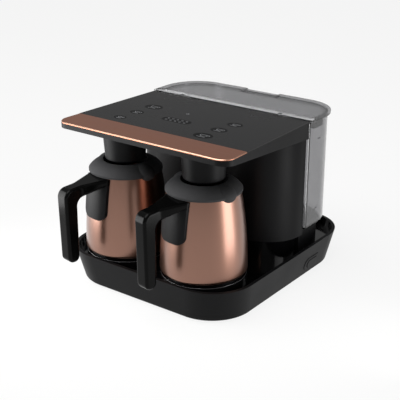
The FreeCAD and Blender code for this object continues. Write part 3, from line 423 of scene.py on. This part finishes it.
before = set(bpy.data.objects)
for x, y, radius in panelMarks["cups"]:
    cupOutline(x, y, radius)
for number in range(display["dots"]):
    for row in (-1, 1):
        dotX = display["at"][0] + (number - (display["dots"] - 1) / 2) * display["columnPitch"]
        dotY = display["at"][1] + row * display["rowOffset"]
        dotAt = (dotX, dotY, panelTop + panelMarks["inkLift"])
        flatDisc(*dotAt, display["dotRadius"], display["dotPoints"])
        hollowOut(display["dotLine"])
warm = panelMarks["warm"]
flatDisc(*warm["at"], panelTop + panelMarks["inkLift"], warm["radius"])
hollowOut(panelMarks["line"])
joinNew(before)
thicken(printFilm)
takePiece("panel_icons", "machine", "panelInk")
print("panel marks made")

# a merged, smooth-shaded copy of the valve's spring, which in the machine closes up under its cap as the
# plunger rises; nothing here makes the copy close up
springMesh = {"mergeWithin": 0.000005, "smoothUpTo": math.radians(40)}
spring = bpy.data.objects.new("closing_spring", frame["nodes"]["valve_spring"].data.copy())
bpy.context.collection.objects.link(spring)
spring.select_set(True)
bpy.context.view_layer.objects.active = spring
bpy.ops.object.mode_set(mode="EDIT")
bpy.ops.mesh.select_all(action="SELECT")
bpy.ops.mesh.remove_doubles(threshold=springMesh["mergeWithin"])
bpy.ops.object.mode_set(mode="OBJECT")
bpy.ops.object.shade_smooth_by_angle(angle=springMesh["smoothUpTo"])
spring = takePiece("closing_spring", "tank", "plainSteel")
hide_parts("valve_spring")
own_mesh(spring)
print("valve spring made")

# a thin turned edge round each heater's raised ring
heaterEdge = {"radius": 0.04595, "points": 128, "top": 0.0390, "height": 0.0007, "wall": 0.00025,
              "roundness": 0.00006, "roundSteps": 2, "smoothUpTo": math.radians(50)}
for side, axis in potAxes.items():
    bpy.ops.mesh.primitive_cylinder_add(
        vertices=heaterEdge["points"], radius=heaterEdge["radius"], depth=heaterEdge["height"],
        end_fill_type="NOTHING", location=(axis.x, axis.y, heaterEdge["top"] - heaterEdge["height"] / 2),
    )
    thicken(heaterEdge["wall"])
    softEdge = bpy.context.active_object.modifiers.new("softEdge", "BEVEL")
    softEdge.width = heaterEdge["roundness"]
    softEdge.segments = heaterEdge["roundSteps"]
    bpy.ops.object.modifier_apply(modifier=softEdge.name)
    bpy.ops.object.shade_smooth_by_angle(angle=heaterEdge["smoothUpTo"])
    takePiece("heater_edge_" + side, "machine", "plainSteel")
print("heater edges made")

# dark stop block under the lid's lip, inside the tank's right wall
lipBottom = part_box("tank_lid")[0].z
stopBlock = {"x": 0.1004, "y": 0.0800, "wide": 0.008, "long": 0.020, "deep": 0.0085, "gap": 0.0001,
             "round": 0.002, "roundSteps": 4, "smoothUpTo": math.radians(40)}
stopMiddle = lipBottom - stopBlock["gap"] - stopBlock["deep"] / 2
bpy.ops.mesh.primitive_cube_add(size=1, location=(stopBlock["x"], stopBlock["y"], stopMiddle))
bpy.ops.object.mode_set(mode="EDIT")
bpy.ops.mesh.select_all(action="SELECT")
bpy.ops.transform.resize(value=(stopBlock["wide"], stopBlock["long"], stopBlock["deep"]))
bpy.ops.mesh.bevel(offset=stopBlock["round"], segments=stopBlock["roundSteps"], affect="EDGES")
bpy.ops.object.mode_set(mode="OBJECT")
bpy.ops.object.shade_smooth_by_angle(angle=stopBlock["smoothUpTo"])
takePiece("lid_stop", "lid", "satinAbs")
print("lid stop made")

# fill lines printed on the tank's right wall
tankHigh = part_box("water_tank")[1]
levels = {"high": 0.161, "low": 0.078, "start": 0.0755, "length": 0.0055, "line": 0.0008, "lift": 0.00003}
levelMiddle = levels["start"] + levels["length"] / 2
before = set(bpy.data.objects)
for height in (levels["high"], levels["low"]):
    levelAt = (tankHigh.x + levels["lift"], levelMiddle, height)
    bpy.ops.mesh.primitive_plane_add(size=1, location=levelAt, rotation=(0, math.pi / 2, 0))
    bpy.ops.transform.resize(value=(1, levels["length"], levels["line"]))
joinNew(before)
thicken(printFilm)
takePiece("fill_lines", "tank", "scaleInk")
print("fill lines made")

# studio
studio = {
    "floorColour": "#e9e9e7",
    "floorSize": 8.0,
    "whiteShare": 0.86,
    "air": 0.32,
    "cameraAt": (0.5786, -0.7678, 0.4670),
    "cameraTarget": (0.00677, -0.006518, 0.09024),
    "lens": 81.83,
    "sensor": 36,
    "nearest": 0.01,
}
lamps = {
    # name: where, aimed at, width, height, watts, spread in degrees
    "overhead": ((-0.20, -0.45, 1.30), (0, 0, 0.1), 1.2, 1.0, 15.0, 180),
    "rightStrip": ((0.290, -0.008, 0.088), (0.05, -0.06, 0.08), 0.135, 0.165, 0.145, 110),
    "leftBox": ((-0.25, -0.25, 0.14), (0.0, -0.06, 0.09), 0.28, 0.26, 0.72, 110),
}
for lampName, (lampAt, aim, width, height, watts, spread) in lamps.items():
    bpy.ops.object.light_add(type="AREA", location=lampAt)
    lamp = bpy.context.active_object
    lamp.name = lampName
    lamp.rotation_euler = (Vector(aim) - Vector(lampAt)).to_track_quat("-Z", "Y").to_euler()
    lamp.data.shape = "RECTANGLE"
    lamp.data.size = width
    lamp.data.size_y = height
    lamp.data.energy = watts
    lamp.data.spread = math.radians(spread)
    lamp.visible_camera = False

bpy.ops.mesh.primitive_plane_add(size=studio["floorSize"], location=(0, 0, 0))
floor = bpy.context.active_object
floor.name = "floor"
floorMaterial, floorTree, floorShader = newMaterial("paleFloor", {
    "Base Color": linear(studio["floorColour"]), "Roughness": 0.9, "Specular IOR Level": 0.1,
})[:3]
# seen directly, mirrored or through the tank the floor is mostly white, and keeps a share of the shadow
rays = addNode(floorTree, "ShaderNodeLightPath").outputs
seen = addNode(
    floorTree, "ShaderNodeMath", {"operation": "MAXIMUM"},
    {0: rays["Is Camera Ray"], 1: rays["Is Transmission Ray"]},
)
seenAll = addNode(
    floorTree, "ShaderNodeMath", {"operation": "MAXIMUM"}, {0: seen.outputs[0], 1: rays["Is Glossy Ray"]},
)
share = addNode(floorTree, "ShaderNodeMath", {"operation": "MULTIPLY"}, {0: seenAll.outputs[0]})
share.inputs[1].default_value = studio["whiteShare"]
glow = addNode(floorTree, "ShaderNodeEmission", {"Color": (1, 1, 1, 1), "Strength": 1.0})
blendIn = addNode(
    floorTree, "ShaderNodeMixShader", None,
    {0: share.outputs[0], 1: floorShader.outputs[0], 2: glow.outputs[0]},
)
floorTree.links.new(blendIn.outputs[0], floorTree.nodes["Material Output"].inputs["Surface"])
floor.data.materials.append(floorMaterial)

world = bpy.data.worlds.new("studioAir")
bpy.context.scene.world = world
world.use_nodes = True
airTree = world.node_tree
air = airTree.nodes["Background"]
air.inputs["Color"].default_value = (1, 1, 1, 1)
# the air lights softly, and past the floor's edge it is seen as white
airRays = addNode(airTree, "ShaderNodeLightPath").outputs
airSeen = addNode(
    airTree, "ShaderNodeMath", {"operation": "MAXIMUM"},
    {0: airRays["Is Camera Ray"], 1: airRays["Is Transmission Ray"]},
)
airLevel = addNode(
    airTree, "ShaderNodeMapRange", {"To Min": studio["air"], "To Max": 1.0}, {"Value": airSeen.outputs[0]},
)
airTree.links.new(airLevel.outputs["Result"], air.inputs["Strength"])

bpy.ops.object.camera_add(location=studio["cameraAt"])
camera = bpy.context.active_object
aimWay = Vector(studio["cameraTarget"]) - Vector(studio["cameraAt"])
camera.rotation_euler = aimWay.to_track_quat("-Z", "Y").to_euler()
camera.data.lens = studio["lens"]
camera.data.sensor_width = studio["sensor"]
camera.data.clip_start = studio["nearest"]
bpy.context.scene.camera = camera
bpy.context.scene.view_settings.view_transform = "Standard"
print("studio set")
